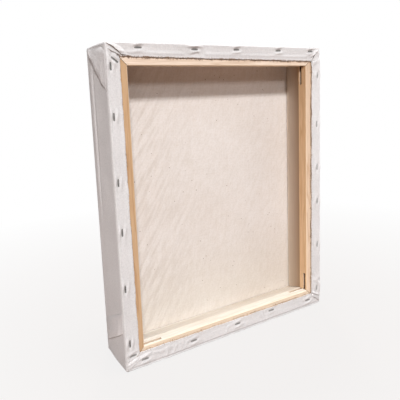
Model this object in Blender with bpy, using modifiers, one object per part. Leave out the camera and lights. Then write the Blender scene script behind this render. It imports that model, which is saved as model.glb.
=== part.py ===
# A deep-edge stretched canvas: primed cloth over four keyed stretcher bars, stapled on the back.
# It stands on its lower edge with its front towards -Y. Sizes are in metres.
# Pieces are laid out as seen from behind: u to the right, v up and w out of the back.
# The bars' back face is at w = 0.

import math

import bmesh
import bpy
from mathutils import Matrix, Vector

# The finished canvas, over the cloth
CANVAS_WIDTH = 0.200
CANVAS_HEIGHT = 0.240

# Stretcher bar section: a full-width back face, and a bevel from the inner edge to a thin front lip
BAR_DEPTH = 0.038
BAR_WIDTH = 0.015
INNER_EDGE = 0.009
LIP_WIDTH = 0.003
LIP_HEIGHT = 0.002
ARRIS_RADIUS = 0.0005
ARRIS_STEPS = 2

# Keyed mitre joint: each bar's tongue lies in its neighbour's slot, at two levels below the back face
MITRE_GAP = 0.0003
SLOT_THICKNESS = 0.0024
SLOT_COVER = 0.0020
SLOT_WEB = 0.0010
KEY_ROOM = 0.016
JOINT_CLEARANCE = 0.0003
TONGUE_ROOT = 0.004

# Cloth, and the width of the flap that is folded over the back on each side
CLOTH_THICKNESS = 0.0005
CLOTH_CLEARANCE = 0.0003
CLOTH_BEND = 0.0012
CLOTH_BEND_STEPS = 3
FLAP_BOTTOM = 0.0125
FLAP_RIGHT = 0.0105
FLAP_TOP = 0.0110
FLAP_LEFT = 0.0113

# Corner folds: a pleat lies on the side face, and a doubled fold runs along the mitre on the back
PLEAT_FRONT = 0.009
PLEAT_BACK = 0.028
FOLD_WIDTH = 0.003
FOLD_SETBACK = 0.0003
FOLD_SINK = 0.0002

# Staples, of flat wire
STAPLE_CROWN = 0.006
STAPLE_LEG = 0.008
STAPLE_TIP = 0.001
STAPLE_BEND = 0.0008
STAPLE_BEND_STEPS = 3
WIRE_WIDTH = 0.0009
WIRE_THICKNESS = 0.0005
CROWN_CLEARANCE = 0.0003
LEG_CLEARANCE = 0.0002

# Staple rows: how far the first and last are from the side's ends, the inset from the outer edge,
# and how far each staple strays along and across an even row
BOTTOM_ROW_ENDS = (0.0156, 0.0160)
BOTTOM_ROW_INSET = 0.0075
BOTTOM_ROW_STRAY = ((0, -0.0013), (0.0009, -0.0005), (0.0025, 0.0005), (-0.0023, 0.0020), (0, -0.0007))
RIGHT_ROW_ENDS = (0.0164, 0.0241)
RIGHT_ROW_INSET = 0.0034
RIGHT_ROW_STRAY = ((0, 0.0007), (0.0030, 0), (0.0049, 0), (-0.0030, 0), (-0.0034, 0.0005), (0, -0.0006))
TOP_ROW_ENDS = (0.0118, 0.0241)
TOP_ROW_INSET = 0.0037
TOP_ROW_STRAY = ((0, 0), (-0.0042, 0), (-0.0021, 0), (-0.0047, 0.0005), (0, 0))
LEFT_ROW_ENDS = (0.0165, 0.0222)
LEFT_ROW_INSET = 0.0033
LEFT_ROW_STRAY = ((0, 0), (-0.0061, 0), (-0.0004, 0), (-0.0045, 0.0005), (-0.0025, 0), (0, 0.0008))

# Two staples hold the left corner folds: distance from the corner along the left side, inset and turn
UPPER_FOLD_STAPLE = (0.0122, 0.0065, math.radians(51))
LOWER_FOLD_STAPLE = (0.0120, 0.0059, math.radians(95))

# Helpers
WELD = 0.00001
CUT_MARGIN = 0.001
SMOOTH_ANGLE = math.radians(35)

# Values that follow from the driving dimensions
WOOD_INSET = CLOTH_THICKNESS + CLOTH_CLEARANCE
FRAME_WIDTH = CANVAS_WIDTH - 2 * WOOD_INSET
FRAME_HEIGHT = CANVAS_HEIGHT - 2 * WOOD_INSET
LIP_RADIUS = CLOTH_BEND - WOOD_INSET
CANVAS_BACK = WOOD_INSET
CANVAS_FRONT = -BAR_DEPTH - WOOD_INSET
CROWN_TOP = CANVAS_BACK + CROWN_CLEARANCE + WIRE_THICKNESS
SHALLOW_LEVEL = -SLOT_COVER - SLOT_THICKNESS / 2
DEEP_LEVEL = SHALLOW_LEVEL - SLOT_THICKNESS - SLOT_WEB
SIDES = ("bottom", "right", "top", "left")


def clear_scene():
    for obj in list(bpy.data.objects):
        bpy.data.objects.remove(obj)


def new_collection(name):
    collection = bpy.data.collections.new(name)
    bpy.context.scene.collection.children.link(collection)
    return collection


def new_material(name, colour, roughness, metallic):
    material = bpy.data.materials.new(name)
    material.use_nodes = True
    shader = material.node_tree.nodes["Principled BSDF"]
    shader.inputs["Base Color"].default_value = (*colour, 1)
    shader.inputs["Roughness"].default_value = roughness
    shader.inputs["Metallic"].default_value = metallic
    return material


def place(name, mesh, collection, parent, location=(0, 0, 0), rotation=(0, 0, 0)):
    obj = bpy.data.objects.new(name, mesh)
    obj.parent = parent
    obj.location = location
    obj.rotation_euler = rotation
    collection.objects.link(obj)
    return obj


def place_helper(name, mesh, parent):
    helper = place(name, mesh, cutters, parent)
    helper.hide_render = True
    helper.display_type = "WIRE"
    return helper


def finish(obj, material):
    obj.data.materials.append(material)
    obj.data.shade_smooth()
    obj.data.set_sharp_from_angle(angle=SMOOTH_ANGLE)


def boolean(part, tool, operation):
    modifier = part.modifiers.new(tool.name, "BOOLEAN")
    modifier.operation = operation
    modifier.object = tool


def arc(centre, start, end, steps):
    """Points on the shorter arc round centre, from start to end."""
    first = start - centre
    begin = math.atan2(first.y, first.x)
    last = end - centre
    sweep = math.remainder(math.atan2(last.y, last.x) - begin, math.tau)
    angles = [begin + sweep * step / steps for step in range(steps + 1)]
    return [centre + first.length * Vector((math.cos(a), math.sin(a))) for a in angles]


def eased_outline(corners, steps):
    """A closed outline through corners given as (x, y, radius), each rounded by its radius."""
    points = []
    for index, (x, y, radius) in enumerate(corners):
        corner = Vector((x, y))
        behind = (Vector(corners[index - 1][:2]) - corner).normalized()
        ahead = (Vector(corners[(index + 1) % len(corners)][:2]) - corner).normalized()
        half = behind.angle(ahead) / 2
        run = radius / math.tan(half)
        centre = corner + (behind + ahead).normalized() * radius / math.sin(half)
        points += arc(centre, corner + behind * run, corner + ahead * run, steps)
    return points


def flat_solid(name, outline, thickness):
    """The mesh of a flat outline in XY, extruded to both sides of it along Z."""
    curve = bpy.data.curves.new(name, "CURVE")
    curve.dimensions = "2D"
    curve.fill_mode = "BOTH"
    curve.extrude = thickness / 2
    spline = curve.splines.new("POLY")
    spline.points.add(len(outline) - 1)
    for point, (x, y) in zip(spline.points, outline):
        point.co = (x, y, 0, 1)
    spline.use_cyclic_u = True
    guide = bpy.data.objects.new(name, curve)
    cutters.objects.link(guide)
    graph = bpy.context.evaluated_depsgraph_get()
    mesh = bpy.data.meshes.new_from_object(guide.evaluated_get(graph))
    bpy.data.objects.remove(guide)
    bm = bmesh.new()
    bm.from_mesh(mesh)
    bmesh.ops.remove_doubles(bm, verts=bm.verts, dist=WELD)
    bmesh.ops.recalc_face_normals(bm, faces=bm.faces)
    bm.to_mesh(mesh)
    bm.free()
    return mesh


def joined(name, placed_meshes):
    """One mesh of separate bodies, from pairs of a mesh and its matrix."""
    bm = bmesh.new()
    for mesh, matrix in placed_meshes:
        mesh.transform(matrix)
        bm.from_mesh(mesh)
    whole = bpy.data.meshes.new(name)
    bm.to_mesh(whole)
    bm.free()
    return whole


def boxes(name, corners_and_matrices):
    """One mesh of separate boxes, each from its low and high corner and the matrix that places it."""
    bm = bmesh.new()
    for low, high, matrix in corners_and_matrices:
        middle = (Vector(low) + Vector(high)) / 2
        size = Vector(high) - Vector(low)
        shape = matrix @ Matrix.Translation(middle) @ Matrix.Diagonal((*size, 1))
        bmesh.ops.create_cube(bm, size=1, matrix=shape)
    mesh = bpy.data.meshes.new(name)
    bm.to_mesh(mesh)
    bm.free()
    return mesh


def side_length(side):
    return CANVAS_WIDTH if side in ("bottom", "top") else CANVAS_HEIGHT


def side_turn(side):
    """Each side runs anticlockwise round the back, so it is the bottom one turned by quarters."""
    return SIDES.index(side) * math.pi / 2


def side_frame(side):
    """Places x along a side from its start and y inwards from the canvas's outer edge."""
    half_across = side_length(SIDES[SIDES.index(side) - 1]) / 2
    start = Matrix.Translation((-side_length(side) / 2, -half_across, 0))
    return Matrix.Rotation(side_turn(side), 4, "Z") @ start


def bar_section():
    corners = (
        (0, 0, ARRIS_RADIUS),
        (BAR_WIDTH, 0, ARRIS_RADIUS),
        (BAR_WIDTH, -INNER_EDGE, ARRIS_RADIUS),
        (LIP_WIDTH, LIP_HEIGHT - BAR_DEPTH, ARRIS_RADIUS),
        (LIP_WIDTH, -BAR_DEPTH, ARRIS_RADIUS),
        (0, -BAR_DEPTH, LIP_RADIUS),
    )
    return eased_outline(corners, ARRIS_STEPS)


def mitred_bar(name, length):
    """A bar along X, its outer face on y = 0 and its back face on z = 0, with both ends mitred."""
    mesh = flat_solid(name, bar_section(), length)
    mesh.transform(Matrix(((0, 0, 1, 0), (1, 0, 0, 0), (0, 1, 0, 0), (0, 0, 0, 1))))
    bm = bmesh.new()
    bm.from_mesh(mesh)
    for end in (-1, 1):
        normal = Vector((end, 1, 0)).normalized()
        tip = Vector((end * length / 2, 0, 0))
        geometry = bm.verts[:] + bm.edges[:] + bm.faces[:]
        cut = bmesh.ops.bisect_plane(
            bm, geom=geometry, plane_co=tip - normal * MITRE_GAP / 2, plane_no=normal, clear_outer=True
        )
        rim = [item for item in cut["geom_cut"] if isinstance(item, bmesh.types.BMEdge)]
        bmesh.ops.edgeloop_fill(bm, edges=rim)
    bmesh.ops.recalc_face_normals(bm, faces=bm.faces)
    bm.to_mesh(mesh)
    bm.free()
    return mesh


def level_box(end, level, thickness, near, far, side_gap, half_length):
    """A box at one end of a bar, between two distances from that end of the frame."""
    ends = sorted((end * (half_length - near), end * (half_length - far)))
    low = (ends[0], side_gap, level - thickness / 2)
    high = (ends[1], BAR_WIDTH - side_gap, level + thickness / 2)
    return low, high, Matrix.Identity(4)


def key_slots(length):
    """The slots of one bar: shallow at its start and deep at its end, open to both edges."""
    far = BAR_WIDTH + KEY_ROOM
    return [
        level_box(end, level, SLOT_THICKNESS, -CUT_MARGIN, far, -CUT_MARGIN, length / 2)
        for end, level in ((-1, SHALLOW_LEVEL), (1, DEEP_LEVEL))
    ]


def tongues(length):
    """The tongues of one bar: deep at its start and shallow at its end, filling the corner square."""
    thickness = SLOT_THICKNESS - 2 * JOINT_CLEARANCE
    far = BAR_WIDTH + TONGUE_ROOT
    return [
        level_box(end, level, thickness, JOINT_CLEARANCE, far, JOINT_CLEARANCE, length / 2)
        for end, level in ((-1, DEEP_LEVEL), (1, SHALLOW_LEVEL))
    ]


def make_bar(side):
    length = side_length(side) - 2 * WOOD_INSET
    half_across = side_length(SIDES[SIDES.index(side) - 1]) / 2 - WOOD_INSET
    turn = side_turn(side)
    outer_face = Vector((half_across * math.sin(turn), -half_across * math.cos(turn), 0))
    name = "stretcher_bar_" + side
    bar = place(name, mitred_bar(name, length), pieces, back_view, outer_face, (0, 0, turn))
    slots = place_helper("key_slots_" + side, boxes("key_slots", key_slots(length)), bar)
    boolean(bar, slots, "DIFFERENCE")
    ends = place_helper("tongues_" + side, boxes("tongues", tongues(length)), bar)
    boolean(bar, ends, "UNION")
    finish(bar, pine)
    return bar


def wrapped_cloth():
    """The cloth's outer surface: a box with bent edges, open at the back inside the four flaps."""
    depth = CANVAS_BACK - CANVAS_FRONT
    middle = (CANVAS_BACK + CANVAS_FRONT) / 2
    shape = Matrix.Translation((0, 0, middle)) @ Matrix.Diagonal((CANVAS_WIDTH, CANVAS_HEIGHT, depth, 1))
    bm = bmesh.new()
    bmesh.ops.create_cube(bm, size=1, matrix=shape)
    bmesh.ops.bevel(
        bm, geom=bm.edges[:], offset=CLOTH_BEND, segments=CLOTH_BEND_STEPS, profile=0.5, affect="EDGES"
    )
    back = max(bm.faces, key=lambda face: face.calc_center_median().z)
    bmesh.ops.inset_individual(bm, faces=[back], thickness=FLAP_RIGHT - CLOTH_BEND)
    for vertex in back.verts:
        vertex.co.x = CANVAS_WIDTH / 2 - FLAP_RIGHT if vertex.co.x > 0 else FLAP_LEFT - CANVAS_WIDTH / 2
        vertex.co.y = CANVAS_HEIGHT / 2 - FLAP_TOP if vertex.co.y > 0 else FLAP_BOTTOM - CANVAS_HEIGHT / 2
    bmesh.ops.delete(bm, geom=[back], context="FACES_ONLY")
    mesh = bpy.data.meshes.new("canvas")
    bm.to_mesh(mesh)
    bm.free()
    return mesh


def corner_signs():
    return [(across, up) for across in (-1, 1) for up in (-1, 1)]


def pleats():
    """On the left and right faces, a folded layer that widens from the front corner towards the back."""
    inset = CLOTH_BEND + FOLD_SETBACK
    front = CANVAS_FRONT + inset
    back = CANVAS_BACK - inset
    thickness = CLOTH_THICKNESS + FOLD_SINK
    stand = Matrix(((0, 0, -1, 0), (0, 1, 0, 0), (1, 0, 0, 0), (0, 0, 0, 1)))
    layers = []
    for across, up in corner_signs():
        edge = CANVAS_HEIGHT / 2
        outline = [
            (front, up * (edge - inset)),
            (back, up * (edge - inset)),
            (back, up * (edge - PLEAT_BACK)),
            (front, up * (edge - PLEAT_FRONT)),
        ]
        face = CANVAS_WIDTH / 2 + (CLOTH_THICKNESS - FOLD_SINK) / 2
        spot = Matrix.Translation((across * face, 0, 0)) @ stand
        layers.append((flat_solid("pleat", outline, thickness), spot))
    return layers


def mitre_folds():
    """On the back, the doubled edge of the top or bottom flap, from the outer corner to the raw edge."""
    inset = CLOTH_BEND + FOLD_SETBACK
    thickness = CLOTH_THICKNESS + FOLD_SINK
    level = Matrix.Translation((0, 0, CANVAS_BACK + (CLOTH_THICKNESS - FOLD_SINK) / 2))
    folds = []
    for across, up in corner_signs():
        side_flap = FLAP_RIGHT if across > 0 else FLAP_LEFT
        end_flap = FLAP_TOP if up > 0 else FLAP_BOTTOM
        outer_u = across * (CANVAS_WIDTH / 2 - inset)
        outer_v = up * (CANVAS_HEIGHT / 2 - inset)
        inner_u = across * (CANVAS_WIDTH / 2 - side_flap - FOLD_SETBACK)
        inner_v = up * (CANVAS_HEIGHT / 2 - end_flap + FOLD_SETBACK)
        reach = across * FOLD_WIDTH
        outline = [
            (outer_u, outer_v),
            (inner_u, inner_v),
            (inner_u - reach, inner_v),
            (outer_u - reach, outer_v),
        ]
        folds.append((flat_solid("fold", outline, thickness), level))
    return folds


def make_canvas():
    canvas = place("canvas", wrapped_cloth(), pieces, back_view)
    shell = canvas.modifiers.new("cloth_thickness", "SOLIDIFY")
    shell.thickness = CLOTH_THICKNESS
    shell.offset = -1
    shell.use_even_offset = True
    boolean(canvas, place_helper("corner_pleats", joined("pleats", pleats()), back_view), "UNION")
    boolean(canvas, place_helper("corner_folds", joined("folds", mitre_folds()), back_view), "UNION")
    finish(canvas, primed_cloth)
    return canvas


def row_places(side, ends, inset, strays):
    """Names and matrices of one side's staples: an even row between its ends, with each one's stray."""
    pitch = (side_length(side) - sum(ends)) / (len(strays) - 1)
    places = []
    for index, (along, across) in enumerate(strays):
        spot = Matrix.Translation((ends[0] + index * pitch + along, inset + across, 0))
        places.append((f"staple_{side}_{index + 1}", side_frame(side) @ spot))
    return places


def fold_place(name, from_corner, inset, turn):
    """A staple beside a corner, turned from the direction of the left side."""
    spot = Matrix.Translation((from_corner, inset, 0)) @ Matrix.Rotation(turn, 4, "Z")
    return name, side_frame("left") @ spot


def staple_places():
    lower_along = CANVAS_HEIGHT - LOWER_FOLD_STAPLE[0]
    return (
        row_places("bottom", BOTTOM_ROW_ENDS, BOTTOM_ROW_INSET, BOTTOM_ROW_STRAY)
        + row_places("right", RIGHT_ROW_ENDS, RIGHT_ROW_INSET, RIGHT_ROW_STRAY)
        + row_places("top", TOP_ROW_ENDS, TOP_ROW_INSET, TOP_ROW_STRAY)
        + row_places("left", LEFT_ROW_ENDS, LEFT_ROW_INSET, LEFT_ROW_STRAY)
        + [
            fold_place("staple_fold_upper", *UPPER_FOLD_STAPLE),
            fold_place("staple_fold_lower", lower_along, *LOWER_FOLD_STAPLE[1:]),
        ]
    )


def staple_mesh():
    """A staple with its crown along X, its legs along -Y and the crown's top on y = 0."""
    half = STAPLE_CROWN / 2
    left_bend = Vector((STAPLE_BEND - half, -STAPLE_BEND))
    right_bend = Vector((half - STAPLE_BEND, -STAPLE_BEND))
    outline = [Vector((-half, -STAPLE_LEG))]
    outline += arc(left_bend, Vector((-half, -STAPLE_BEND)), Vector((left_bend.x, 0)), STAPLE_BEND_STEPS)
    outline += arc(right_bend, Vector((right_bend.x, 0)), Vector((half, -STAPLE_BEND)), STAPLE_BEND_STEPS)
    outline += [
        Vector((half, -STAPLE_LEG)),
        Vector((half - WIRE_THICKNESS, STAPLE_TIP - STAPLE_LEG)),
        Vector((half - WIRE_THICKNESS, -WIRE_THICKNESS)),
        Vector((WIRE_THICKNESS - half, -WIRE_THICKNESS)),
        Vector((WIRE_THICKNESS - half, STAPLE_TIP - STAPLE_LEG)),
    ]
    return flat_solid("staple", outline, WIRE_WIDTH)


def leg_holes(places):
    """A hole round each leg, through the cloth and into the wood."""
    middle = (STAPLE_CROWN - WIRE_THICKNESS) / 2
    half_thickness = WIRE_THICKNESS / 2 + LEG_CLEARANCE
    half_width = WIRE_WIDTH / 2 + LEG_CLEARANCE
    bottom = CROWN_TOP - STAPLE_LEG - LEG_CLEARANCE
    top = CANVAS_BACK + CUT_MARGIN
    holes = []
    for name, matrix in places:
        for leg in (-middle, middle):
            low = (leg - half_thickness, -half_width, bottom)
            high = (leg + half_thickness, half_width, top)
            holes.append((low, high, matrix))
    return holes


def make_staples(places):
    mesh = staple_mesh()
    upright = Matrix.Translation((0, 0, CROWN_TOP)) @ Matrix.Rotation(math.pi / 2, 4, "X")
    for name, matrix in places:
        spot = matrix @ upright
        staple = place(name, mesh, pieces, back_view, spot.translation, spot.to_euler())
    finish(staple, wire)


clear_scene()
pieces = new_collection("stretched_canvas")
cutters = new_collection("cutters")
pine = new_material("pine", (0.72, 0.47, 0.26), 0.62, 0)
primed_cloth = new_material("primed_cloth", (0.76, 0.74, 0.73), 0.85, 0)
wire = new_material("staple_wire", (0.12, 0.11, 0.10), 0.45, 1)

# The empty turns u, v and w to world -X, Z and Y, with the canvas centred and standing on z = 0
back_view = bpy.data.objects.new("back_view", None)
back_view.rotation_euler = (math.pi / 2, 0, math.pi)
back_view.location = (0, -(CANVAS_FRONT + CROWN_TOP) / 2, CANVAS_HEIGHT / 2)
pieces.objects.link(back_view)

places = staple_places()
holes = place_helper("staple_leg_holes", boxes("leg_holes", leg_holes(places)), back_view)
for solid in [make_canvas()] + [make_bar(side) for side in SIDES]:
    boolean(solid, holes, "DIFFERENCE")
make_staples(places)
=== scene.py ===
import math
import random

import bmesh
import bpy
from mathutils import Matrix, Vector, noise


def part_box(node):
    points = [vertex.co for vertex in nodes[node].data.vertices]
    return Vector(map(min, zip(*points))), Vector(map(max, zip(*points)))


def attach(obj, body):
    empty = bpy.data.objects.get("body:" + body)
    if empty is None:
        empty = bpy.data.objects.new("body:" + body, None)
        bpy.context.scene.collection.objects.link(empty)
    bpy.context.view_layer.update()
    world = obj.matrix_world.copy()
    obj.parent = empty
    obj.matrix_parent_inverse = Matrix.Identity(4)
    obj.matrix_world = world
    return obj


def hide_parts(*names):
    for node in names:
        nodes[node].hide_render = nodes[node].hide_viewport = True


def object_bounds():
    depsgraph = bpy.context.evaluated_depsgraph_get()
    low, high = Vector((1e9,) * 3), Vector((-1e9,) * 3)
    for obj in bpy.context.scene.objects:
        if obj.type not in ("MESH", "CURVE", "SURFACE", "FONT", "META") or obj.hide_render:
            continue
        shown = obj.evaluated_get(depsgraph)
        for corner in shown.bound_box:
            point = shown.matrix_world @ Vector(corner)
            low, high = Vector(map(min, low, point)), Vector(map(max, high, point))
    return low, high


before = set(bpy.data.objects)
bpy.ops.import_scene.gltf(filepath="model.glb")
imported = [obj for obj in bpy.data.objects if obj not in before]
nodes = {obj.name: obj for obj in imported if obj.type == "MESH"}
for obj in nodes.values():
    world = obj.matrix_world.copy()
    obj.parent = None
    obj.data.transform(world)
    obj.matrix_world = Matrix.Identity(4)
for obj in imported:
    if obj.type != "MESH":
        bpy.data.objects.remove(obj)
cadLow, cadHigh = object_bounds()
print("frame loaded:", len(nodes), "nodes")

# everything is laid out as seen from behind: u right, v up from the middle, w out of the back of the wood
mm = 0.001
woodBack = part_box("stretcher_bar_top")[1].y
middleHeight = (cadLow.z + cadHigh.z) / 2
backView = Matrix.Translation((0, woodBack, middleHeight)) @ Matrix(
    ((-1, 0, 0, 0), (0, 0, 1, 0), (0, 1, 0, 0), (0, 0, 0, 1))
)
quarter = math.pi / 2  # of a turn
plain = (1, 1, 1)  # white, a tint that changes nothing


def addPiece(name, verts, faces, materials):
    mesh = bpy.data.meshes.new(name)
    mesh.from_pydata([tuple(p) for p in verts], [], faces)
    mesh.transform(backView)
    mesh.validate()
    bm = bmesh.new()
    bm.from_mesh(mesh)
    bmesh.ops.recalc_face_normals(bm, faces=bm.faces)
    bm.to_mesh(mesh)
    bm.free()
    mesh.shade_smooth()
    piece = bpy.data.objects.new(name, mesh)
    for material in materials:
        mesh.materials.append(material)
    bpy.context.scene.collection.objects.link(piece)
    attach(piece, "root")
    return piece


def smooth(x):
    x = min(max(x, 0), 1)
    return x * x * (3 - 2 * x)


def bump(distance, width):
    return math.exp(-((distance / width) ** 2))


def wander(x, y, scale, seed=0):
    return noise.noise(Vector((x * scale, y * scale, seed * 7.31)))


# short ways to make and join nodes
def newMaterial(name):
    material = bpy.data.materials.new(name)
    material.use_nodes = True
    return material, material.node_tree, material.node_tree.nodes["Principled BSDF"]


def addNode(tree, kind, inputs=None, **settings):
    made = tree.nodes.new(kind)
    for key, value in settings.items():
        setattr(made, key, value)
    for key, value in (inputs or {}).items():
        setSocket(tree, made.inputs[key], value)
    return made


def setSocket(tree, socket, value):
    if isinstance(value, bpy.types.NodeSocket):
        tree.links.new(value, socket)
    else:
        socket.default_value = value


def doMath(tree, operation, a, b=0.0, c=0.0):
    return addNode(tree, "ShaderNodeMath", {0: a, 1: b, 2: c}, operation=operation).outputs[0]


def addNoise(tree, vector, scale, detail=3, rough=0.55, twist=0.0):
    inputs = {"Vector": vector, "Scale": scale, "Detail": detail, "Roughness": rough, "Distortion": twist}
    return addNode(tree, "ShaderNodeTexNoise", inputs).outputs["Fac"]


def addRamp(tree, fac, stops):
    made = addNode(tree, "ShaderNodeValToRGB", {"Fac": fac})
    elements = made.color_ramp.elements
    while len(elements) < len(stops):
        elements.new(0.5)
    for element, (place, colour) in zip(elements, stops):
        element.position = place
        element.color = (*colour, 1)
    return made.outputs["Color"]


def greyRamp(tree, fac, low, high):
    return addRamp(tree, fac, ((0.2, (low,) * 3), (0.8, (high,) * 3)))


def mapRange(tree, value, low, high):
    inputs = {"Value": value, "From Min": low, "From Max": high}
    return addNode(tree, "ShaderNodeMapRange", inputs).outputs[0]


def splitAxes(tree, vector):
    return addNode(tree, "ShaderNodeSeparateXYZ", {"Vector": vector}).outputs


def mixColours(tree, fac, a, b, blend="MIX"):
    made = addNode(tree, "ShaderNodeMix", data_type="RGBA", blend_type=blend)
    for socket, value in ((made.inputs[0], fac), (made.inputs[6], a), (made.inputs[7], b)):
        setSocket(tree, socket, value)
    return made.outputs[2]


def tinted(tree, colour, by):
    return mixColours(tree, 1.0, colour, by, "MULTIPLY")


def stainAndShade(tree, colour, fac, markColour, low, high):
    # a stain, and at some calls painted shade, where fac is low; nothing where it is high
    return tinted(tree, colour, addRamp(tree, fac, ((low, markColour), (high, plain))))


def objectPlace(tree, scale=(1, 1, 1), lean=0.0):
    # turned first and scaled after, so that long streaks keep their lean
    place = addNode(tree, "ShaderNodeTexCoord").outputs["Object"]
    turned = addNode(tree, "ShaderNodeMapping", {"Vector": place, "Rotation": (0, lean, 0)})
    scaled = addNode(tree, "ShaderNodeMapping", {"Vector": turned.outputs["Vector"], "Scale": scale})
    return scaled.outputs["Vector"]


def hollows(tree, distance):
    return addNode(tree, "ShaderNodeAmbientOcclusion", {"Distance": distance}, samples=8).outputs["AO"]


thickThin = 500  # noise scale of the thick and thin places in the yarns


def weaveHeight(tree, pitch):
    # over-and-under threads on whichever two axes lie in the face
    place = addNode(tree, "ShaderNodeTexCoord").outputs["Object"]
    axes = splitAxes(tree, place)
    waves = [doMath(tree, "SINE", doMath(tree, "MULTIPLY", axes[i], math.pi / pitch)) for i in range(3)]
    pairs = [doMath(tree, "MULTIPLY", waves[i], waves[(i + 1) % 3]) for i in range(3)]
    pairs = [doMath(tree, "ABSOLUTE", pair) for pair in pairs]
    yarns = doMath(tree, "ADD", doMath(tree, "ADD", pairs[0], pairs[1]), pairs[2])
    return doMath(tree, "MULTIPLY", yarns, addNoise(tree, place, thickThin, 2))


def addBump(tree, shader, height, strength, distance, under=None):
    made = addNode(tree, "ShaderNodeBump", {"Height": height, "Strength": strength, "Distance": distance})
    if under is not None:
        tree.links.new(under, made.inputs["Normal"])
    tree.links.new(made.outputs["Normal"], shader.inputs["Normal"])
    return made.outputs["Normal"]


# primed side of the cloth, with a paler copy for the side pleats that is painted light
primer = dict(
    pale=(0.745, 0.732, 0.735), dull=(0.70, 0.685, 0.687), pleat=(0.79, 0.765, 0.765),
    cloudScale=38, grainScale=900, grain=(0.89, 0.89, 0.89), rough=(0.7, 0.9),
    # painted shade: the darker tints in hollows and on faces that look down
    creviceShade=(0.52, 0.47, 0.44), creviceShadeReach=2.5 * mm, under=(0.72, 0.70, 0.69),
    pitch=0.46 * mm, weave=0.55, weaveDeep=0.12 * mm, slub=0.5, slubScale=420, slubDeep=0.3 * mm,
)


def primedMaterial(name, pale):
    material, tree, shader = newMaterial(name)
    place = objectPlace(tree)
    fine = addNoise(tree, place, primer["grainScale"], 2)
    cloud = addNoise(tree, place, primer["cloudScale"], 4)
    colour = addRamp(tree, cloud, ((0.3, primer["dull"]), (0.62, pale)))
    colour = stainAndShade(tree, colour, fine, primer["grain"], 0.3, 0.65)
    # painted shade in the folds, beside the staples and in other hollows
    colour = stainAndShade(tree, colour, hollows(tree, primer["creviceShadeReach"]), primer["creviceShade"], 0.25, 0.8)
    # painted shade on faces that look down, such as under the edge that it stands on
    facing = splitAxes(tree, addNode(tree, "ShaderNodeNewGeometry").outputs["Normal"])["Z"]
    shadedBelow = tinted(tree, colour, (*primer["under"], 1))
    colour = mixColours(tree, mapRange(tree, facing, -0.3, -0.9), colour, shadedBelow)
    tree.links.new(colour, shader.inputs["Base Color"])
    tree.links.new(greyRamp(tree, fine, *primer["rough"]), shader.inputs["Roughness"])
    weave = weaveHeight(tree, primer["pitch"])
    weave = addBump(tree, shader, weave, primer["weave"], primer["weaveDeep"])
    slubs = addNoise(tree, place, primer["slubScale"], 3)
    addBump(tree, shader, slubs, primer["slub"], primer["slubDeep"], weave)
    return material


# unprimed side of the cloth, seen inside the frame
rawSide = dict(
    pale=(0.875, 0.835, 0.815), warm=(0.83, 0.775, 0.735), yarn=(2100, 60), rough=0.95,
    cloud=(0.95, 0.93, 0.91), cloudScale=14, mottle=(0.95, 0.945, 0.935), mottleScale=650,
    streak=(0.95, 0.94, 0.925), streakScale=(300, 300, 95), streakLean=0.5,
    slack=(0.91, 0.895, 0.88), slackScale=(260, 260, 34), slackLean=0.55, slackEnd=60 * mm,
    # foot paints shade: the cloth darker towards the foot
    foot=(0.92, 0.91, 0.88), footReach=(20 * mm, 80 * mm),
    seed=(0.36, 0.28, 0.22), seedScale=190, seedSize=0.075, patchScale=60,
    pitch=0.5 * mm, weave=0.5, weaveDeep=0.2 * mm, yarnBump=0.4, yarnDeep=0.25 * mm,
)


def rawMaterial():
    material, tree, shader = newMaterial("rawCloth")
    place = objectPlace(tree)
    fast, slow = rawSide["yarn"]
    warp = addNoise(tree, objectPlace(tree, (fast, fast, slow)), 1, 2)
    weft = addNoise(tree, objectPlace(tree, (slow, slow, fast)), 1, 2)
    yarns = doMath(tree, "MULTIPLY", doMath(tree, "ADD", warp, weft), 0.5)
    colour = addRamp(tree, yarns, ((0.3, rawSide["warm"]), (0.62, rawSide["pale"])))
    cloud = addNoise(tree, place, rawSide["cloudScale"], 3)
    colour = stainAndShade(tree, colour, cloud, rawSide["cloud"], 0.3, 0.7)
    streak = addNoise(tree, objectPlace(tree, rawSide["streakScale"], rawSide["streakLean"]), 1, 4)
    colour = stainAndShade(tree, colour, streak, rawSide["streak"], 0.32, 0.6)
    mottle = addNoise(tree, place, rawSide["mottleScale"], 2)
    colour = stainAndShade(tree, colour, mottle, rawSide["mottle"], 0.35, 0.6)
    # slack slanting threads on the side near the left bar, and painted shade: darker towards the foot
    axes = splitAxes(tree, place)
    slant = addNoise(tree, objectPlace(tree, rawSide["slackScale"], rawSide["slackLean"]), 1, 2)
    slanted = stainAndShade(tree, colour, slant, rawSide["slack"], 0.38, 0.56)
    colour = mixColours(tree, mapRange(tree, axes["X"], 0.0, rawSide["slackEnd"]), colour, slanted)
    height = mapRange(tree, axes["Z"], *rawSide["footReach"])
    colour = stainAndShade(tree, colour, height, rawSide["foot"], 0, 1)
    # specks of seed husk, in patches
    specks = addNode(tree, "ShaderNodeTexVoronoi", {"Vector": place, "Scale": rawSide["seedScale"]})
    near = doMath(tree, "LESS_THAN", specks.outputs["Distance"], rawSide["seedSize"])
    patch = doMath(tree, "GREATER_THAN", addNoise(tree, place, rawSide["patchScale"], 1), 0.5)
    colour = mixColours(tree, doMath(tree, "MULTIPLY", near, patch), colour, (*rawSide["seed"], 1))
    tree.links.new(colour, shader.inputs["Base Color"])
    shader.inputs["Roughness"].default_value = rawSide["rough"]
    weave = weaveHeight(tree, rawSide["pitch"])
    weave = addBump(tree, shader, weave, rawSide["weave"], rawSide["weaveDeep"])
    addBump(tree, shader, yarns, rawSide["yarnBump"], rawSide["yarnDeep"], weave)
    return material


# cut edge of the cloth and its loose threads, dark and pale; the dark cut-edge finish also paints shade
# inside the fold slits
fray = dict(
    cutEdgeAndSlitShade=((0.34, 0.21, 0.12), (0.68, 0.54, 0.42)),
    brownThread=((0.19, 0.11, 0.07), (0.56, 0.41, 0.30)),
    scale=1400, rough=0.95, bump=0.6, deep=0.2 * mm,
)


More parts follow.
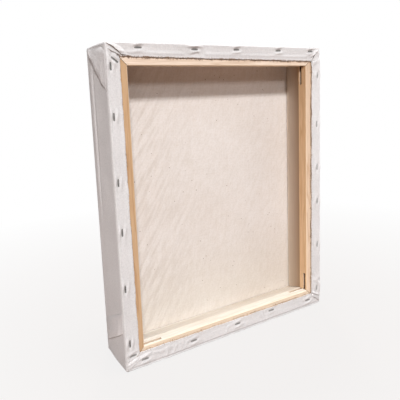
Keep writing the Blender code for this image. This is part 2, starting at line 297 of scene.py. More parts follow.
def frayMaterial(name):
    material, tree, shader = newMaterial(name)
    dark, pale = fray[name]
    strands = addNoise(tree, objectPlace(tree), fray["scale"], 2)
    tree.links.new(addRamp(tree, strands, ((0.3, dark), (0.7, pale))), shader.inputs["Base Color"])
    shader.inputs["Roughness"].default_value = fray["rough"]
    addBump(tree, shader, strands, fray["bump"], fray["deep"])
    return material


primedCloth = primedMaterial("primedCloth", primer["pale"])
# painted light: a paler copy of the primer for the side pleats
litPleatCloth = primedMaterial("litPleatCloth", primer["pleat"])
rawCloth = rawMaterial()
cutEdgeAndSlitShade = frayMaterial("cutEdgeAndSlitShade")
brownThread = frayMaterial("brownThread")
print("cloth finishes made")

# the sheet: front, four sides and the flaps on the back; sides go round bottom, right, top, left
# corners, pockets, crumples and creases are in mm as seen from behind
cloth = dict(
    width=200 * mm, height=240 * mm, front=-38.8 * mm, back=0.8 * mm, thickness=0.45 * mm,
    cornerBend=1.5 * mm, frontBend=1.3 * mm, backBend=1.0 * mm,
    step=1.0 * mm, fineStep=0.8 * mm, fineReach=18 * mm,
    cornerSteps=6, bendSteps=4, frontStep=10 * mm, frontInset=7 * mm,
    rawCorners=((-88.7, -107.2), (89.0, -107.8), (90.3, 107.9), (-89.8, 110.1)),
    rawCurl=0.3 * mm, edgeCurl=0.25 * mm, curlScale=90, edgeWave=0.4 * mm, edgeScale=110,
    bendWave=(0.12 * mm, 0.1 * mm), bendScale=150, fineScale=420,
    loft=0.2 * mm, loftScale=60, ripple=0.14 * mm, rippleScale=240, crumpleScale=300, crumpleLift=0.33,
    sinks=0.3 * mm,  # keeps the cloth clear of the wood
    rise=(0.8 * mm, 1.1 * mm, 1.0 * mm, 0.9 * mm), riseEnd=14 * mm, riseLeast=0.2, riseShare=0.74,
    hem=0.95 * mm, hemAt=0.07, hemWide=0.04,
    sideWave=0.35 * mm, sideSlack=0.6, sideScale=28, sideDeep=30 * mm,
    groove=0.8 * mm, grooveAt=0.268, grooveWide=0.022, grooveStray=0.012, strayScale=30,
    grooveFrom=(-112 * mm, 20 * mm), grooveTo=(30 * mm, 60 * mm),
    ridges=((0.17, 0.07, 0.55 * mm), (0.36, 0.06, 0.275 * mm)),
    sideRows=(
        0.07, 0.14, 0.19, 0.22, 0.245, 0.27, 0.295, 0.32, 0.36, 0.43, 0.51, 0.59, 0.67, 0.75, 0.83, 0.91,
    ),
    flapRows=(
        0.015, 0.035, 0.055, 0.075, 0.095, 0.12, 0.16, 0.21, 0.27, 0.33, 0.39, 0.45, 0.51, 0.57, 0.63,
        0.69, 0.75, 0.81, 0.87, 0.935, 1.0,
    ),
    pockets=(
        (-95.3, 112.3, 2.4, 0.8), (-90.6, 110.8, 1.6, 0.7), (92.7, 110.2, 2.3, 1.0),
        (97.0, 111.8, 2.6, 0.8), (-93.0, -115.2, 1.6, 0.5), (94.5, -111.8, 2.2, 0.7),
        (98.0, -114.5, 1.6, 0.6),
    ),
    crumples=(
        (-95, 111, 5, 0.9), (96, -97, 6, 0.9), (93, 100, 5, 0.5), (-60, -113, 9, 0.35),
        (0, -113, 12, 0.25),
    ),
    creases=(
        ((30.6, -109.1), (33.8, -118.6), 0.5, 0.9), ((28.2, -110.5), (30.2, -118.0), 0.3, 0.8),
        ((-65.7, -113.1), (-66.8, -119.3), 0.35, 0.9), ((-52.0, -111.0), (-49.5, -118.0), 0.3, 1.2),
        ((-33.6, 115.0), (-26.7, 114.2), 0.6, 0.9), ((-26.7, 114.2), (-23.5, 109.7), 0.45, 1.0),
        ((-36.0, 118.0), (-24.0, 117.6), 0.6, 1.0), ((-26.2, 113.9), (-33.5, 111.4), -0.5, 0.9),
        ((5.0, 114.0), (12.0, 114.0), 0.35, 0.8), ((48.0, 114.2), (55.0, 114.1), 0.35, 0.8),
        ((-84.0, 113.0), (-40.0, 112.4), 0.4, 1.2), ((-20.0, 112.3), (84.0, 111.6), 0.4, 1.2),
        ((-84.0, -110.5), (-70.0, -112.0), 0.25, 1.3), ((-70.0, -112.0), (-48.0, -110.0), 0.2, 1.4),
        ((-20.0, -111.5), (20.0, -110.3), 0.15, 1.4), ((45.0, -110.5), (78.0, -111.0), 0.15, 1.3),
        ((-57.5, -111.5), (-60.5, -116.5), 0.35, 0.8), ((-54.0, -113.5), (-53.0, -117.0), 0.35, 0.7),
        ((-47.5, -112.0), (-49.5, -115.5), 0.3, 0.8), ((-8.0, -112.0), (-10.5, -117.0), 0.3, 0.8),
        ((12.0, -113.5), (10.0, -117.5), 0.3, 0.8), ((96.0, -95.0), (91.0, -86.0), 0.3, 1.0),
        ((95.0, 88.0), (92.0, 99.0), 0.3, 1.0),
    ),
)
# how the cloth puffs up on both sides of a staple and is pressed down under it
puff = dict(
    high=0.75 * mm, uneven=0.6, scale=900, reach=9 * mm, along=4.2 * mm, beside=2.2 * mm, wide=1.1 * mm,
    pressLong=3.3 * mm, pressWide=1.0 * mm, pressed=0.22 * mm,
)


def stapleSpots():
    spots = []
    for name in sorted(nodes):
        if name.startswith("staple"):
            low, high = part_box(name)
            reach = high - low
            along = Vector((reach.x, -reach.z if name.endswith("upper") else reach.z)).normalized()
            spots.append((-(low.x + high.x) / 2, (low.z + high.z) / 2 - middleHeight, along))
    return spots


staples = stapleSpots()
creaseLines = [
    (Vector(a) * mm, Vector(b) * mm, height * mm, width * mm) for a, b, height, width in cloth["creases"]
]


def segmentDistance(p, a, b):
    line = b - a
    share = min(max((p - a).dot(line) / line.length_squared, 0), 1)
    return (p - a - line * share).length


def flapRise(side, along, share):
    # the flap stands up at the outer bend and lies flat near its raw edge
    half = (cloth["width"] if side % 2 == 0 else cloth["height"]) / 2
    least = cloth["riseLeast"]
    middle = least + (1 - least) * smooth((half - abs(along)) / cloth["riseEnd"])
    return cloth["rise"][side] * middle * max(0, 1 - share / cloth["riseShare"])


def flapLift(u, v, rise):
    # height of the folded-over cloth above its flat place
    here = Vector((u, v))
    lift = rise + cloth["loft"] * (1 + 0.8 * wander(u, v, cloth["loftScale"]))
    lift += cloth["ripple"] * wander(u, v, cloth["rippleScale"], 1)
    for a, b, height, width in creaseLines:
        lift += height * bump(segmentDistance(here, a, b), width)
    for cu, cv, radius, height in cloth["crumples"]:
        near = bump((here - Vector((cu, cv)) * mm).length, radius * mm)
        lift += near * height * mm * (wander(u, v, cloth["crumpleScale"], 4) + cloth["crumpleLift"])
    for su, sv, along in staples:
        gap = here - Vector((su, sv))
        if gap.length < puff["reach"]:
            a = gap.dot(along)
            b = gap.x * -along.y + gap.y * along.x
            swell = bump(a, puff["along"]) * bump(abs(b) - puff["beside"], puff["wide"])
            lift += puff["high"] * swell * (1 + puff["uneven"] * wander(su, sv, puff["scale"], 2))
            pressed = math.exp(-((a / puff["pressLong"]) ** 4)) * bump(b, puff["pressWide"])
            lift += (puff["pressed"] - lift) * pressed
    for pu, pv, radius, depth in cloth["pockets"]:
        lift -= depth * mm * bump(math.hypot(u - pu * mm, v - pv * mm), radius * mm)
    return max(lift, -cloth["sinks"])


def sideLift(side, along, depth):
    # slack of the cloth over a side, none at the two bends
    inner = math.sin(math.pi * smooth(depth))
    slack = cloth["sideSlack"] + wander(along, depth * cloth["sideDeep"], cloth["sideScale"], 11 + side)
    lift = cloth["sideWave"] * slack * inner
    if side == 3:  # a long crease between two ridges on the left side
        (start, startFade), (end, endFade) = cloth["grooveFrom"], cloth["grooveTo"]
        reach = smooth((along - start) / startFade) * smooth((end - along) / endFade)
        stray = cloth["grooveStray"] * wander(along, 0, cloth["strayScale"], 5)
        lift -= cloth["groove"] * reach * bump(depth - cloth["grooveAt"] - stray, cloth["grooveWide"])
        for at, wide, high in cloth["ridges"]:
            lift += high * reach * bump(depth - at, wide)
    return max(lift, -cloth["sinks"])


def sideStations(length):
    half = length / 2 - cloth["cornerBend"]
    fine = round(cloth["fineReach"] / cloth["fineStep"])
    coarse = round((2 * half - 2 * cloth["fineReach"]) / cloth["step"])
    near = [-half + cloth["fineReach"] * i / fine for i in range(fine)]
    centre = [(-half + cloth["fineReach"]) * (1 - 2 * i / coarse) for i in range(coarse + 1)]
    return near + centre + [-x for x in reversed(near)]


def clothColumns():
    # one column for each station round the frame: outer point, outward direction, raw edge point
    wide, tall, bend = cloth["width"] / 2, cloth["height"] / 2, cloth["cornerBend"]
    raw = [Vector(c) * mm for c in cloth["rawCorners"]]
    columns = []
    for side in range(4):
        turn = Matrix.Rotation(side * quarter, 2)
        length, across = (2 * wide, tall) if side % 2 == 0 else (2 * tall, wide)
        out = turn @ Vector((0, -1))
        nextRaw = raw[(side + 1) % 4]
        stations = sideStations(length)
        for s in stations:
            share = (s - stations[0]) / (stations[-1] - stations[0])
            columns.append((turn @ Vector((s, -across)), out, raw[side].lerp(nextRaw, share), side, s))
        hub = turn @ Vector((length / 2 - bend, bend - across))
        for i in range(1, cloth["cornerSteps"]):
            angle = (side - 1 + i / cloth["cornerSteps"]) * quarter
            out = Vector((math.cos(angle), math.sin(angle)))
            columns.append((hub + out * bend, out, nextRaw + out * cloth["rawCurl"], side, length / 2))
    return columns


def columnPoints(column):
    outer, out, target, side, along = column
    front, back, steps = cloth["front"], cloth["back"], cloth["bendSteps"]
    points = []
    bend = cloth["frontBend"]
    for i in range(steps + 1):
        angle = i / steps * quarter
        p = outer - out * bend * (1 - math.sin(angle))
        points.append(Vector((p.x, p.y, front + bend * (1 - math.cos(angle)))))
    top = back - cloth["backBend"]
    for depth in cloth["sideRows"]:
        p = outer + out * sideLift(side, along, depth)
        points.append(Vector((p.x, p.y, front + bend + depth * (top - front - bend))))
    bend = cloth["backBend"]
    fineWave, longWave = cloth["bendWave"]
    fineScale = cloth["fineScale"]
    bumpy = fineWave * wander(along, side, fineScale, 3)
    bumpy += longWave * wander(along, side, cloth["bendScale"], 6)
    for i in range(steps + 1):
        angle = i / steps * quarter
        push = bumpy * math.sin(2 * angle)
        p = outer - out * bend * (1 - math.cos(angle))
        p = p + out * push
        lift = flapLift(p.x, p.y, flapRise(side, along, 0)) * smooth(i / steps) if i else 0
        points.append(Vector((p.x, p.y, top + bend * math.sin(angle) + push + lift)))
    start = outer - out * bend
    wave = wander(along, side, cloth["edgeScale"], 8) + 0.6 * wander(along, side, fineScale, 9)
    wave *= cloth["edgeWave"]
    for share in cloth["flapRows"]:
        p = start.lerp(target - out * wave, share)
        curl = cloth["edgeCurl"] * smooth((share - 0.75) * 4) * wander(along, side, cloth["curlScale"], 10)
        if side == 0:  # pressed line along the lower edge
            curl -= cloth["hem"] * bump(share - cloth["hemAt"], cloth["hemWide"])
        lift = flapLift(p.x, p.y, flapRise(side, along, share))
        points.append(Vector((p.x, p.y, back + max(lift + curl, -cloth["sinks"]))))
    lowest = -cloth["height"] / 2  # nothing below the edge that it stands on
    return [Vector((p.x, max(p.y, lowest), p.z)) for p in points]


def makeCloth():
    bm = bmesh.new()
    verts = [[bm.verts.new(p) for p in columnPoints(column)] for column in clothColumns()]
    for i, lineA in enumerate(verts):
        lineB = verts[(i + 1) % len(verts)]
        for j in range(len(lineA) - 1):
            bm.faces.new((lineA[j], lineB[j], lineB[j + 1], lineA[j + 1]))
    # the front is a coarser net, joined to the bend all round
    wide, tall = cloth["width"] / 2 - cloth["frontInset"], cloth["height"] / 2 - cloth["frontInset"]
    acrossN, upN = round(2 * wide / cloth["frontStep"]), round(2 * tall / cloth["frontStep"])
    us = [-wide + 2 * wide * i / acrossN for i in range(acrossN + 1)]
    vs = [-tall + 2 * tall * j / upN for j in range(upN + 1)]
    net = [[bm.verts.new((u, v, cloth["front"])) for v in vs] for u in us]
    for i in range(acrossN):
        for j in range(upN):
            bm.faces.new((net[i][j], net[i][j + 1], net[i + 1][j + 1], net[i + 1][j]))
    rim = [bm.edges.get((verts[i][0], verts[(i + 1) % len(verts)][0])) for i in range(len(verts))]
    inNet = {vert for line in net for vert in line}
    netRim = [e for e in bm.edges if len(e.link_faces) == 1 and all(vert in inNet for vert in e.verts)]
    bmesh.ops.bridge_loops(bm, edges=rim + netRim)
    bm.verts.index_update()
    points = [v.co.copy() for v in bm.verts]
    faces = [[v.index for v in f.verts] for f in bm.faces]
    bm.free()
    return addPiece("canvas_cloth", points, faces, (primedCloth, rawCloth, cutEdgeAndSlitShade))


canvasCloth = makeCloth()
# faces have to look outwards before the cloth gets its thickness
bm = bmesh.new()
bm.from_mesh(canvasCloth.data)
frontFace = min(bm.faces, key=lambda f: f.calc_center_median().y)
if frontFace.normal.y > 0:
    bmesh.ops.reverse_faces(bm, faces=bm.faces)
bm.to_mesh(canvasCloth.data)
bm.free()
shell = canvasCloth.modifiers.new("clothThickness", "SOLIDIFY")
shell.thickness = cloth["thickness"]
shell.offset = -1
shell.use_even_offset = False
shell.use_quality_normals = True
shell.material_offset = 1
shell.material_offset_rim = 2
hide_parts("canvas")
print("cloth made:", len(canvasCloth.data.vertices), "points")

# folded layers: a rolled fold with a slit under it along one line, thinning to nothing at its root line
folds = dict(
    stations=28, roll=0.45 * mm, rollSteps=6, slit=1.3 * mm, slitFrom=0.3, slitGap=0.1 * mm,
    sunk=0.3 * mm, rootSunk=0.05 * mm, stray=0.3 * mm, uneven=0.2,
    backEnds=0.5, sideEnds=0.12, slitFaces=(9, 10, 11, 12),
    # name, fold line, root line, thickness
    back=(
        (
            "fold_upper_left_over", ((-99.3, 119.0), (-94.5, 116.4), (-88.9, 111.6)),
            ((-90, 119.3), (-85, 116.5), (-81, 110.6)), 1.9,
        ),
        (
            "fold_upper_left_under", ((-99.3, 115.4), (-94.7, 113.2), (-90.0, 111.0)),
            ((-97.5, 119.0), (-92.5, 116.2), (-88.6, 112.4)), 1.2,
        ),
        (
            "fold_lower_left_over", ((-99.3, -115.4), (-95.0, -113.7), (-89.2, -111.4)),
            ((-99.2, -110.6), (-95, -109.8), (-89.4, -108.4)), 1.7,
        ),
        (
            "fold_lower_left_under", ((-98.6, -118.7), (-95.0, -116.4), (-89.0, -113.0), (-79, -110.6)),
            ((-99.0, -113.0), (-94, -111.5), (-87.0, -109.0), (-78, -108.4)), 1.2,
        ),
        (
            "fold_lower_right_over", ((90.0, -107.9), (94.0, -109.8), (99.3, -112.5)),
            ((90.4, -104.6), (95.0, -106.9), (99.2, -108.0)), 1.7,
        ),
        (
            "fold_lower_right_under", ((89.6, -110.9), (94.0, -113.6), (99.2, -117.8)),
            ((91.0, -107.0), (95.0, -108.5), (99.2, -110.5)), 1.1,
        ),
        (
            "fold_upper_right_over", ((99.4, 118.0), (95.5, 115.2), (91.4, 112.0)),
            ((93.5, 119.4), (91.8, 117.6), (85.5, 111.2)), 1.2,
        ),
        (
            "fold_upper_right_under", ((90.9, 107.7), (95.0, 108.4), (99.3, 109.5)),
            ((91.0, 101.5), (95.0, 102.0), (99.2, 103.0)), 1.3,
        ),
    ),
    # name, side, end, crease, line where the layer runs out, thickness
    # points are given by the distance from that end and the depth from the back
    sides=(
        (
            "pleat_upper_left", -1, 1, ((1.8, 37.9), (12.2, 23.3), (22.1, 12.4), (33.5, 0.9)),
            ((1.4, 37.9), (1.4, 0.9)), 1.8,
        ),
        (
            "pleat_lower_left", -1, -1, ((9.5, 37.8), (16.4, 24.9), (26.0, 8.2), (30.8, 0.9)),
            ((30, 37.8), (48, 0.9)), 1.8,
        ),
        (
            "pleat_upper_right", 1, 1, ((3.0, 37.9), (13.0, 24.0), (21.0, 12.8), (31.0, 0.9)),
            ((1.4, 37.9), (1.4, 0.9)), 1.8,
        ),
        (
            "pleat_lower_right", 1, -1, ((6.0, 37.8), (15.0, 24.5), (24.0, 9.0), (29.5, 0.9)),
            ((27, 37.8), (46, 0.9)), 1.8,
        ),
    ),
)


def alongLine(points, share):
    lengths = [(b - a).length for a, b in zip(points, points[1:])]
    left = share * sum(lengths)
    for a, b, length in zip(points, points[1:], lengths):
        if left <= length or b is points[-1]:
            return a.lerp(b, min(left / length, 1))
        left -= length


def foldedLayer(name, edge, root, normal, thick, seed, finish, ends):
    loops = []
    count, sunk, steps = folds["stations"], normal * folds["sunk"], folds["rollSteps"]
    for i in range(count + 1):
        share = i / count
        a, b = alongLine(edge, share), alongLine(root, share)
        out = (a - b).normalized()
        a = a + out * folds["stray"] * noise.noise(Vector((share * 6, seed, 0)))
        t = thick * (1 + folds["uneven"] * noise.noise(Vector((share * 5, seed, 3))))
        t *= ends + (1 - ends) * smooth(share * 4) * smooth((1 - share) * 4)
        r = min(folds["roll"], t / 2)
        hub = a - out * r
        loop = [b - sunk, b - normal * folds["rootSunk"]]
        loop += [b.lerp(hub, s) + normal * t * (0.35 * s + 0.65 * smooth(s)) for s in (0.25, 0.5, 0.75)]
        for step in range(steps + 1):
            angle = quarter - step * math.pi / steps
            loop.append(hub + normal * (t - r + r * math.sin(angle)) + out * r * math.cos(angle))
        inner = b.lerp(hub, max(folds["slitFrom"], 1 - folds["slit"] / (hub - b).length))
        loop += [inner + normal * max(t - 2 * r - folds["slitGap"], 0), inner - sunk]
        loops.append(loop)
    size = len(loops[0])
    verts = [p for loop in loops for p in loop]
    faces = [tuple(range(size)), tuple(reversed(range(count * size, (count + 1) * size)))]
    for i in range(count):
        for j in range(size):
            k = (j + 1) % size
            faces.append((i * size + j, i * size + k, (i + 1) * size + k, (i + 1) * size + j))
    piece = addPiece(name, verts, faces, (finish, cutEdgeAndSlitShade))
    for n, face in enumerate(piece.data.polygons):
        if n >= 2 and (n - 2) % size in folds["slitFaces"]:
            face.material_index = 1  # the unprimed side inside the slit, painted dark with the cut-edge finish as shade
    return piece


backLevel = cloth["back"] + cloth["loft"] * 0.5
backOut = Vector((0, 0, 1))
for seed, (name, edge, root, thick) in enumerate(folds["back"]):
    lines = [[Vector((u * mm, v * mm, backLevel)) for u, v in line] for line in (edge, root)]
    foldedLayer(name, *lines, backOut, thick * mm, seed, primedCloth, folds["backEnds"])
for seed, (name, across, up, crease, end, thick) in enumerate(folds["sides"], 20):
    u, tall = across * cloth["width"] / 2, cloth["height"] / 2
    lines = [
        [Vector((u, up * (tall - fall * mm), cloth["back"] - depth * mm)) for fall, depth in line]
        for line in (crease, end)
    ]
    sideOut = Vector((across, 0, 0))
    foldedLayer(name, *lines, sideOut, thick * mm, seed, litPleatCloth, folds["sideEnds"])

# loose threads along the raw edge, most of them along the top; strands lie along the edge itself
threads = dict(
    counts=(70, 70, 230, 45), long=(1.6, 1.5, 1.9, 1.3), short=0.4 * mm, fan=0.75, bow=0.35, steps=5,
    tuck=0.6 * mm, high=1.1 * mm, lie=(0.15, 0.3), thick=0.17 * mm, taper=0.45,
    strands=(3, 6, 14, 2), strandLong=(8 * mm, 26 * mm), strandSteps=14, strandStray=(-0.1, 0.6),
    strandLie=(0.3, 0.5), brown=(False, True, True, False), seed=5,
)


def addThread(points, verts, faces):
    base, last = len(verts), len(points) - 1
    for k, p in enumerate(points):
        ahead = (points[min(k + 1, last)] - points[max(k - 1, 0)]).normalized()
        sideways = ahead.cross(backOut).normalized()
        r = threads["thick"] * (1 - threads["taper"] * k / last)
        low = Vector((0, 0, r / 2))
        verts += [p + sideways * r - low, p - sideways * r - low, p + low * 2]
    for k in range(last):
        for j in range(3):
            a, b = base + 3 * k + j, base + 3 * k + (j + 1) % 3
            faces.append((a, b, b + 3, a + 3))
    end = base + 3 * last
    faces += [(base, base + 1, base + 2), (end + 2, end + 1, end)]


def makeThreads():
    pick = random.Random(threads["seed"])
    raw = [Vector(c) * mm for c in cloth["rawCorners"]]
    verts, faces, brown = [], [], []
    for side in range(4):
        inward = Matrix.Rotation(side * quarter, 2) @ Vector((0, 1))
        edge = raw[(side + 1) % 4] - raw[side]
        for n in range(threads["counts"][side]):
            start = raw[side] + edge * pick.random()
            reach = pick.uniform(threads["short"], threads["long"][side] * mm)
            way = Matrix.Rotation(pick.gauss(0, threads["fan"]), 2) @ inward
            bow = Vector((-way.y, way.x)) * reach * pick.uniform(-threads["bow"], threads["bow"])
            points = []
            for k in range(threads["steps"] + 1):
                t = k / threads["steps"]
                p = start - inward * threads["tuck"] * (1 - t) + way * reach * t
                p = p + bow * math.sin(math.pi * t)
                height = threads["high"] * (1 - t) ** 1.5 + pick.uniform(*threads["lie"]) * mm
                points.append(Vector((p.x, p.y, height)))
            addThread(points, verts, faces)
        for n in range(threads["strands"][side]):
            length = pick.uniform(*threads["strandLong"])
            start = raw[side] + edge * pick.uniform(0, 1 - length / edge.length)
            points = []
            for k in range(threads["strandSteps"] + 1):
                p = start + edge.normalized() * length * k / threads["strandSteps"]
                p = p + inward * pick.uniform(*threads["strandStray"]) * mm
                points.append(Vector((p.x, p.y, pick.uniform(*threads["strandLie"]) * mm)))
            addThread(points, verts, faces)
        brown += [threads["brown"][side]] * (len(faces) - len(brown))
    piece = addPiece("raw_edge_threads", verts, faces, (cutEdgeAndSlitShade, brownThread))
    for face, isBrown in zip(piece.data.polygons, brown):
        face.material_index = int(isBrown)
    return piece


makeThreads()
print("raw edge threads made")

# stretcher bars keep their solids and get a pine finish, each with its own board's colour
# back, corner, foot, low and high multiply it as painted light and shade: on the back face, over the bevel
# and along an upright bar
bars = dict(
    stretcher_bar_left=dict(
        upright=True, shift=1.7, low=(1.04, 1.05, 1.09), high=(0.98, 0.98, 0.98),
        pale=(0.60, 0.385, 0.215), dark=(0.48, 0.275, 0.135), back=(1.0, 1.04, 1.09),
        corner=(0.55, 0.43, 0.31), foot=(0.94, 0.98, 1.0), dull=0.7, hollowShade=(0.16, 0.085, 0.05),
    ),
    stretcher_bar_right=dict(
        upright=True, shift=4.2, low=(1.13, 1.15, 1.17), high=(0.93, 0.93, 0.93),
        pale=(0.76, 0.51, 0.30), dark=(0.64, 0.385, 0.20), back=(1.03, 1.19, 1.53),
        corner=(0.55, 0.42, 0.30), foot=(0.94, 0.98, 1.0), dull=0.7, hollowShade=(0.16, 0.085, 0.05),
    ),
    stretcher_bar_top=dict(
        upright=False, shift=2.9,
        pale=(0.86, 0.68, 0.50), dark=(0.75, 0.56, 0.39), back=(1.02, 1.085, 1.23),
        corner=(0.55, 0.43, 0.31), foot=(0.94, 0.98, 1.0), dull=0.7, hollowShade=(0.16, 0.085, 0.05),
    ),
    # painted light: the bottom bar is a paler, creamier copy of the pine with its back face toned back
    # down, for the strong light on its upward inner face and bevel
    stretcher_bar_bottom=dict(
        upright=False, shift=6.6,
        pale=(0.90, 0.855, 0.775), dark=(0.84, 0.765, 0.66), back=(0.95, 0.84, 0.74),
        corner=(1.08, 1.09, 1.11), foot=(1.08, 1.09, 1.11), dull=0.0, hollowShade=(0.62, 0.48, 0.36),
    ),
)
# bevel tints: a greyer sawn face with painted reflected light, and a painted highlight on the arrises
bevel = dict(top=9.6 * mm, foot=-17 * mm, dull=(0.72, 0.62, 0.54), arris=(0.92, 0.78, 0.60), arrisHighlight=0.6)
pine = dict(
    grain=0.045, ringScale=95, rings=9, fibreScale=1500, fibre=(0.86, 0.83, 0.80),
    cloud=(0.94, 0.91, 0.88), cloudScale=22, hollowShadeReach=6 * mm, reach=(20 * mm, 220 * mm),
    rough=(0.5, 0.72), gloss=0.3, bump=0.25, deep=0.15 * mm,
)


def pineMaterial(name, look):
    material, tree, shader = newMaterial(name)
    coords = addNode(tree, "ShaderNodeTexCoord").outputs["Object"]
    axes = splitAxes(tree, coords)
    stretch = (1, 1, pine["grain"]) if look["upright"] else (pine["grain"], 1, 1)
    shift = (look["shift"],) * 3
    place = addNode(tree, "ShaderNodeMapping", {"Vector": coords, "Scale": stretch, "Location": shift})
    place = place.outputs["Vector"]
    grow = addNoise(tree, place, pine["ringScale"], 3, 0.5, 0.6)
    rings = doMath(tree, "FRACT", doMath(tree, "MULTIPLY", grow, pine["rings"]))
    pale, dark = look["pale"], look["dark"]
    colour = addRamp(tree, rings, ((0.0, pale), (0.62, pale), (0.88, dark), (1.0, pale)))
    fibre = addNoise(tree, place, pine["fibreScale"], 3)
    colour = stainAndShade(tree, colour, fibre, pine["fibre"], 0.3, 0.62)
    cloud = addNoise(tree, objectPlace(tree), pine["cloudScale"], 3)
    colour = stainAndShade(tree, colour, cloud, pine["cloud"], 0.3, 0.7)
    # painted light: the back face, which faces the key lamp, gets its own tint, and the arrises get a
    # painted highlight
    facing = splitAxes(tree, addNode(tree, "ShaderNodeNewGeometry").outputs["True Normal"])["Y"]
    facesBack = mapRange(tree, facing, 0.9, 0.97)
    colour = mixColours(tree, facesBack, colour, tinted(tree, colour, (*look["back"], 1)))
    none, arrisHighlight = (0, 0, 0), (bevel["arrisHighlight"],) * 3
    tilt = doMath(tree, "MULTIPLY_ADD", facing, 0.5, 0.5)
    arris = addRamp(tree, tilt, ((0.62, none), (0.72, arrisHighlight), (0.96, arrisHighlight), (0.985, none)))
    colour = mixColours(tree, arris, colour, (*bevel["arris"], 1))
    # painted shade in the slots, joints and other hollows
    colour = stainAndShade(tree, colour, hollows(tree, pine["hollowShadeReach"]), look["hollowShade"], 0.16, 0.5)
    # the sawn bevel and the lip face forwards; they are greyer, partly as sawn wood and partly as painted
    # reflected light from the cloth, and a tint that changes with depth paints shade darker towards the
    # inner corner; on the bottom bar it paints light instead
    depth = axes["Y"]
    inFront = doMath(tree, "LESS_THAN", depth, bevel["foot"])
    sawn = doMath(tree, "MAXIMUM", mapRange(tree, facing, -0.2, -0.4), inFront)
    depth = mapRange(tree, depth, bevel["top"], bevel["foot"])
    paintedBevel = mixColours(tree, look["dull"], colour, (*bevel["dull"], 1))
    paintedBevel = tinted(tree, paintedBevel, addRamp(tree, depth, ((0, look["corner"]), (1, look["foot"]))))
    colour = mixColours(tree, sawn, colour, paintedBevel)
    if look["upright"]:  # painted light: paler towards the foot, for light thrown up from below
        height = mapRange(tree, axes["Z"], *pine["reach"])
        colour = tinted(tree, colour, addRamp(tree, height, ((0, look["low"]), (1, look["high"]))))
    tree.links.new(colour, shader.inputs["Base Color"])
    tree.links.new(greyRamp(tree, fibre, *pine["rough"]), shader.inputs["Roughness"])
    shader.inputs["Specular IOR Level"].default_value = pine["gloss"]
    addBump(tree, shader, fibre, pine["bump"], pine["deep"])
    return material


def dress(name, material):
    nodes[name].data.materials.clear()
    nodes[name].data.materials.append(material)


for name, look in bars.items():
    dress(name, pineMaterial("pine_" + name.split("_")[-1], look))

# staples keep their solids; the wire is chosen by a word of the staple's name, and is lighter on the
# bottom, lower and right staples
wire = dict(
    stapleWire=((0.08, 0.075, 0.07), (0.26, 0.25, 0.24)),
    greyWire=((0.20, 0.19, 0.18), (0.46, 0.45, 0.44)),
    paleGreyWire=((0.34, 0.33, 0.32), (0.62, 0.61, 0.60)),
)
wireOn = dict(bottom="greyWire", lower="greyWire", right="paleGreyWire")
wireFinish = dict(tarnishScale=1900, rough=(0.35, 0.6), metal=0.85, pitScale=2500, bump=0.2, deep=0.05 * mm)


def wireMaterial(name):
    material, tree, shader = newMaterial(name)
    place = objectPlace(tree)
    dark, bright = wire[name]
    tarnish = addNoise(tree, place, wireFinish["tarnishScale"], 3)
    tree.links.new(addRamp(tree, tarnish, ((0.35, dark), (0.7, bright))), shader.inputs["Base Color"])
    tree.links.new(greyRamp(tree, tarnish, *wireFinish["rough"]), shader.inputs["Roughness"])
    shader.inputs["Metallic"].default_value = wireFinish["metal"]
    pits = addNoise(tree, place, wireFinish["pitScale"], 2)
    addBump(tree, shader, pits, wireFinish["bump"], wireFinish["deep"])
    return material


wires = {name: wireMaterial(name) for name in wire}
for name in nodes:
    if name.startswith("staple"):
        chosen = [wireOn[word] for word in name.split("_") if word in wireOn]
        dress(name, wires[chosen[0] if chosen else "stapleWire"])
print("bars and staples finished")

# camera behind the canvas and to the left of it
view = dict(
    place=(0.2039, 0.3065, 0.1986), turn=(81.803, 2.422, 149.780), lens=39.47, shift=(0.0281, -0.0916),
    sensor=36, clipStart=0.01,
)
cameraData = bpy.data.cameras.new("camera")
camera = bpy.data.objects.new("camera", cameraData)
camera.location = view["place"]
camera.rotation_euler = [math.radians(a) for a in view["turn"]]
cameraData.lens = view["lens"]
cameraData.sensor_width = view["sensor"]
cameraData.shift_x, cameraData.shift_y = view["shift"]
cameraData.clip_start = view["clipStart"]
bpy.context.scene.collection.objects.link(camera)
bpy.context.scene.camera = camera

# lights: two behind and above, one overhead, a weak one on each side, a low one for the painting face
lights = dict(
    key=dict(place=(0.86, 1.9, 1.41), size=0.2, power=46.5),
    lowKey=dict(place=(0.6, 2.0, 0.84), size=0.25, power=9.5),
    overhead=dict(place=(0.0, 0.12, 1.3), size=0.2, power=7.9),
    leftFill=dict(place=(0.36, -0.02, 0.01), size=0.3, power=0.37, colour=(1.0, 0.93, 0.91)),
    rightFill=dict(place=(-0.5, 0.35, 0.5), size=0.3, power=0.9),
    front=dict(place=(-0.9, -1.7, 0.4), size=0.4, power=34.0),
)
for name, lamp in lights.items():
    data = bpy.data.lights.new(name, "AREA")
    data.size = lamp["size"]
    data.energy = lamp["power"]
    data.color = lamp.get("colour", plain)
    lampObject = bpy.data.objects.new(name, data)
    lampObject.location = lamp["place"]
    aim = Vector((0, 0, middleHeight)) - lampObject.location
    lampObject.rotation_euler = aim.to_track_quat("-Z", "Y").to_euler()
    lampObject.visible_camera = False
    bpy.context.scene.collection.objects.link(lampObject)


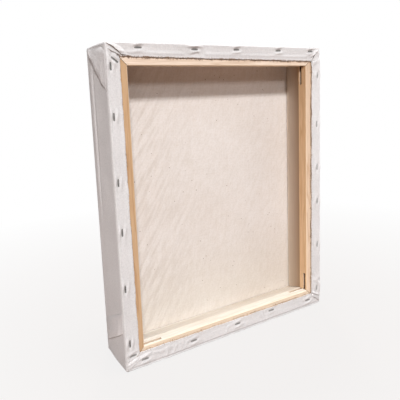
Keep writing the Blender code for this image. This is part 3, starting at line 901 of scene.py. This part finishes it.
def pathRays(tree):
    # what the camera sees directly, in a mirror or through glass
    rays = addNode(tree, "ShaderNodeLightPath").outputs
    seen = doMath(tree, "MAXIMUM", rays["Is Camera Ray"], rays["Is Glossy Ray"])
    return doMath(tree, "MAXIMUM", seen, rays["Is Transmission Ray"])


# white all round for the camera; the floor's own colour is what it throws back onto the object
room = dict(
    ambient=0.03, floorColour=(0.245, 0.155, 0.115), floorSize=6, floorDrop=0.2 * mm, rough=0.9,
    glow=0.84, fade=(0.1, 0.5),
)
white = (*plain, 1)
world = bpy.data.worlds.new("studio")
bpy.context.scene.world = world
world.use_nodes = True
tree = world.node_tree
ambient = tree.nodes["Background"]
ambient.inputs["Color"].default_value = white
ambient.inputs["Strength"].default_value = room["ambient"]
backdrop = addNode(tree, "ShaderNodeBackground", {"Color": white, "Strength": 1.0})
seen = pathRays(tree)
both = addNode(tree, "ShaderNodeMixShader", {0: seen, 1: ambient.outputs[0], 2: backdrop.outputs[0]})
tree.links.new(both.outputs[0], tree.nodes["World Output"].inputs["Surface"])

half = room["floorSize"] / 2
floorMesh = bpy.data.meshes.new("floor")
floorCorners = [(-half, -half, 0), (half, -half, 0), (half, half, 0), (-half, half, 0)]
floorMesh.from_pydata(floorCorners, [], [(0, 1, 2, 3)])
floor = bpy.data.objects.new("floor", floorMesh)
floor.location.z = cadLow.z - room["floorDrop"]
bpy.context.scene.collection.objects.link(floor)
paper, tree, shader = newMaterial("palePaper")
shader.inputs["Base Color"].default_value = (*room["floorColour"], 1)
shader.inputs["Roughness"].default_value = room["rough"]
glow = addNode(tree, "ShaderNodeEmission", {"Color": white, "Strength": 1.0})
# the floor runs out to white away from the object
place = addNode(tree, "ShaderNodeTexCoord").outputs["Object"]
away = addNode(tree, "ShaderNodeVectorMath", {0: place}, operation="LENGTH").outputs["Value"]
fade = addRamp(tree, away, ((room["fade"][0], (room["glow"],) * 3), (room["fade"][1], plain)))
share = doMath(tree, "MULTIPLY", pathRays(tree), fade)
both = addNode(tree, "ShaderNodeMixShader", {0: share, 1: shader.outputs[0], 2: glow.outputs[0]})
tree.links.new(both.outputs[0], tree.nodes["Material Output"].inputs["Surface"])
floorMesh.materials.append(paper)
bpy.context.scene.view_settings.view_transform = "Standard"
print("studio ready")
